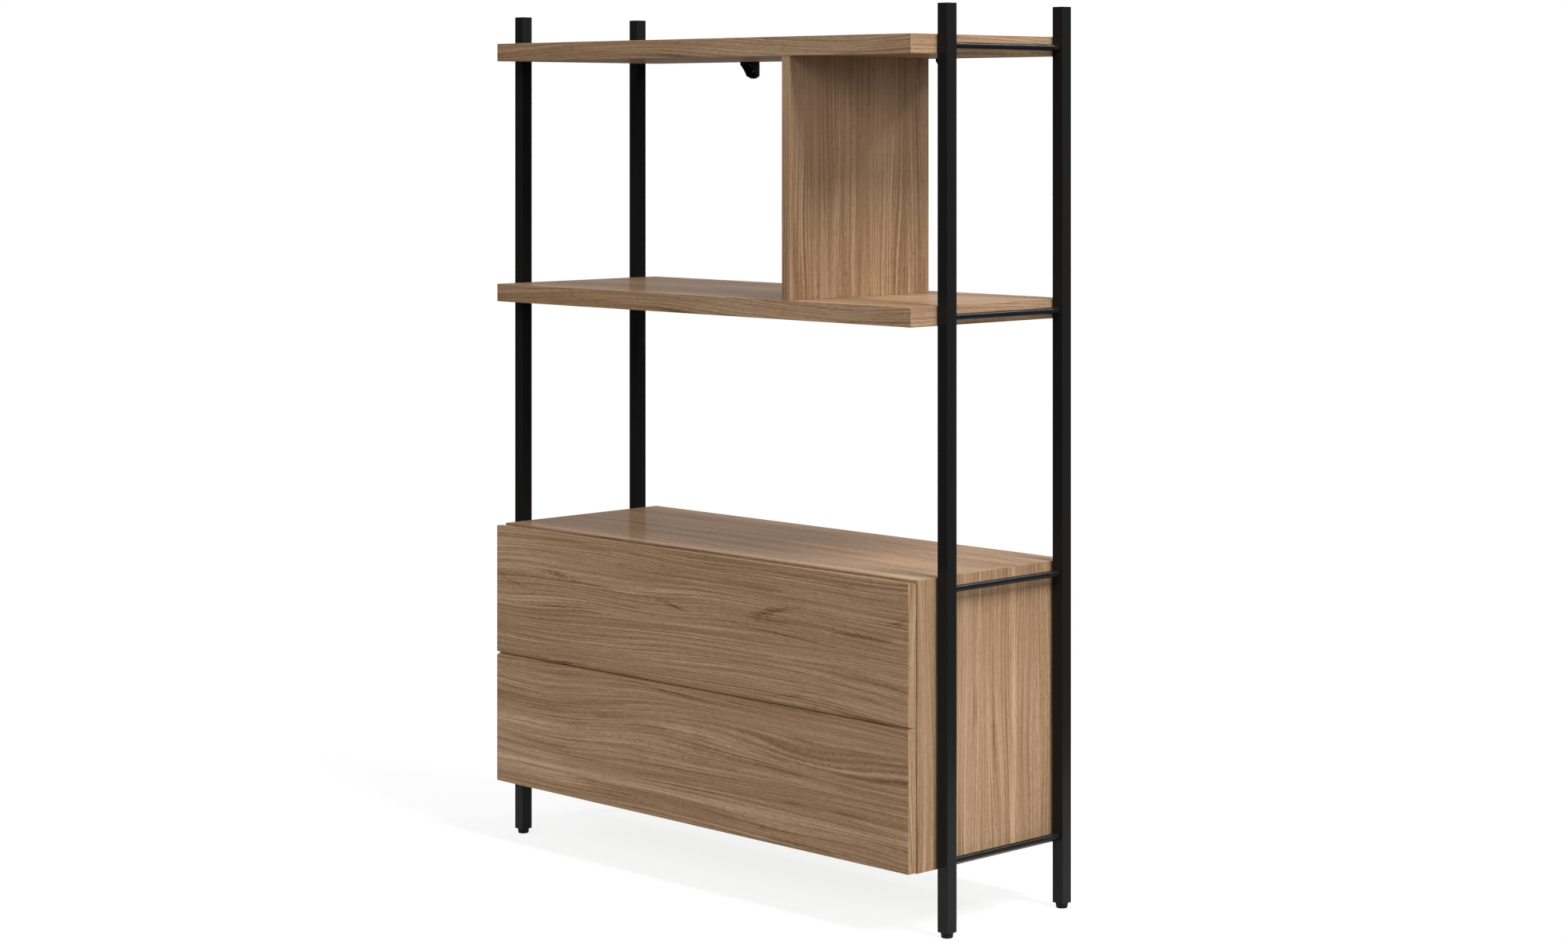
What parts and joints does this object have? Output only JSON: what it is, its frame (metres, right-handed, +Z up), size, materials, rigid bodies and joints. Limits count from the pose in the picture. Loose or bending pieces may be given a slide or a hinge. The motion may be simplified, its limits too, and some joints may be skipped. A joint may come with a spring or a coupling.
{
  "type": "shelving unit with drawers",
  "caption": "Open shelving unit: tube-and-rod side frames carry oak-veneered shelves, an upright divider and a cabinet with full-width handleless drawers.",
  "frame": {"origin": "on the floor, at the centre of the unit's outline seen from above", "axes": "+X to the right seen from the front, +Y to the back, +Z up"},
  "size_m": [1.254, 0.453, 1.7378],
  "materials": {
    "oak_veneer": "matt lacquered oak veneer",
    "drawer_board": "matt foil-faced board",
    "beech_dowel": "plain beech",
    "black_powder_coat": "satin",
    "black_plastic": "matt",
    "zinc_steel": "bright zinc"
  },
  "bodies": {
    "frame": {"cabinet_back": "drawer_board", "cabinet_bolts": "zinc_steel", "cabinet_bottom": "oak_veneer", "cabinet_left_side": "oak_veneer", "cabinet_right_side": "oak_veneer", "cabinet_spacers": "black_plastic", "cabinet_top": "oak_veneer", "crossbar_left_1": "black_powder_coat", "crossbar_left_2": "black_powder_coat", "crossbar_left_3": "black_powder_coat", "crossbar_left_4": "black_powder_coat", "crossbar_right_1": "black_powder_coat", "crossbar_right_2": "black_powder_coat", "crossbar_right_3": "black_powder_coat", "crossbar_right_4": "black_powder_coat", "divider": "oak_veneer", "divider_dowels": "beech_dowel", "foot_sockets": "black_plastic", "latch_housings": "black_plastic", "lower_cabinet_runners": "zinc_steel", "middle_shelf": "oak_veneer", "post_back_left": "black_powder_coat", "post_back_right": "black_powder_coat", "post_caps": "black_plastic", "post_front_left": "black_powder_coat", "post_front_right": "black_powder_coat", "rivet_nuts": "zinc_steel", "shelf_bolts": "zinc_steel", "shelf_cams": "zinc_steel", "top_shelf": "oak_veneer", "upper_cabinet_runners": "zinc_steel", "wall_bracket_left": "black_plastic", "wall_bracket_right": "black_plastic", "wood_screws": "zinc_steel"},
    "lower_drawer": {"lower_box_back": "drawer_board", "lower_box_floor": "drawer_board", "lower_box_front": "drawer_board", "lower_box_left_side": "drawer_board", "lower_box_right_side": "drawer_board", "lower_drawer_runners": "zinc_steel", "lower_front": "oak_veneer", "lower_front_screws": "zinc_steel", "lower_runner_screws": "zinc_steel"},
    "lower_middle_runners": {"lower_middle_runners": "zinc_steel"},
    "lower_latch_plunger": {"lower_latch_plunger": "black_plastic"},
    "upper_drawer": {"upper_box_back": "drawer_board", "upper_box_floor": "drawer_board", "upper_box_front": "drawer_board", "upper_box_left_side": "drawer_board", "upper_box_right_side": "drawer_board", "upper_drawer_runners": "zinc_steel", "upper_front": "oak_veneer", "upper_front_screws": "zinc_steel", "upper_runner_screws": "zinc_steel"},
    "upper_middle_runners": {"upper_middle_runners": "zinc_steel"},
    "upper_latch_plunger": {"upper_latch_plunger": "black_plastic"},
    "levelling_foot_1": {"levelling_foot_1": "black_plastic"},
    "levelling_foot_2": {"levelling_foot_2": "black_plastic"},
    "levelling_foot_3": {"levelling_foot_3": "black_plastic"},
    "levelling_foot_4": {"levelling_foot_4": "black_plastic"}
  },
  "joints": [
    {"name": "lower_drawer_slide", "type": "slide", "parent": "frame", "child": "lower_drawer", "axis": [0, -1, 0], "range_m": [0, 0.35]},
    {"name": "lower_runner_slide", "type": "slide", "parent": "frame", "child": "lower_middle_runners", "axis": [0, -1, 0], "range_m": [0, 0.175]},
    {"name": "lower_latch_push", "type": "slide", "parent": "frame", "child": "lower_latch_plunger", "axis": [0, 1, 0], "range_m": [0, 0.003], "stiffness_N_per_m": 400},
    {"name": "upper_drawer_slide", "type": "slide", "parent": "frame", "child": "upper_drawer", "axis": [0, -1, 0], "range_m": [0, 0.35]},
    {"name": "upper_runner_slide", "type": "slide", "parent": "frame", "child": "upper_middle_runners", "axis": [0, -1, 0], "range_m": [0, 0.175]},
    {"name": "upper_latch_push", "type": "slide", "parent": "frame", "child": "upper_latch_plunger", "axis": [0, 1, 0], "range_m": [0, 0.003], "stiffness_N_per_m": 400},
    {"name": "foot_1_turn", "type": "hinge", "parent": "frame", "child": "levelling_foot_1", "pos_m": [-0.614, -0.14, 0], "axis": [0, 0, 1], "continuous": true},
    {"name": "foot_2_turn", "type": "hinge", "parent": "frame", "child": "levelling_foot_2", "pos_m": [-0.614, 0.186, 0], "axis": [0, 0, 1], "continuous": true},
    {"name": "foot_3_turn", "type": "hinge", "parent": "frame", "child": "levelling_foot_3", "pos_m": [0.614, -0.14, 0], "axis": [0, 0, 1], "continuous": true},
    {"name": "foot_4_turn", "type": "hinge", "parent": "frame", "child": "levelling_foot_4", "pos_m": [0.614, 0.186, 0], "axis": [0, 0, 1], "continuous": true}
  ],
  "couplings": [
    {"joint": "lower_runner_slide", "follows": "lower_drawer_slide", "ratio": 0.5},
    {"joint": "upper_runner_slide", "follows": "upper_drawer_slide", "ratio": 0.5}
  ]
}
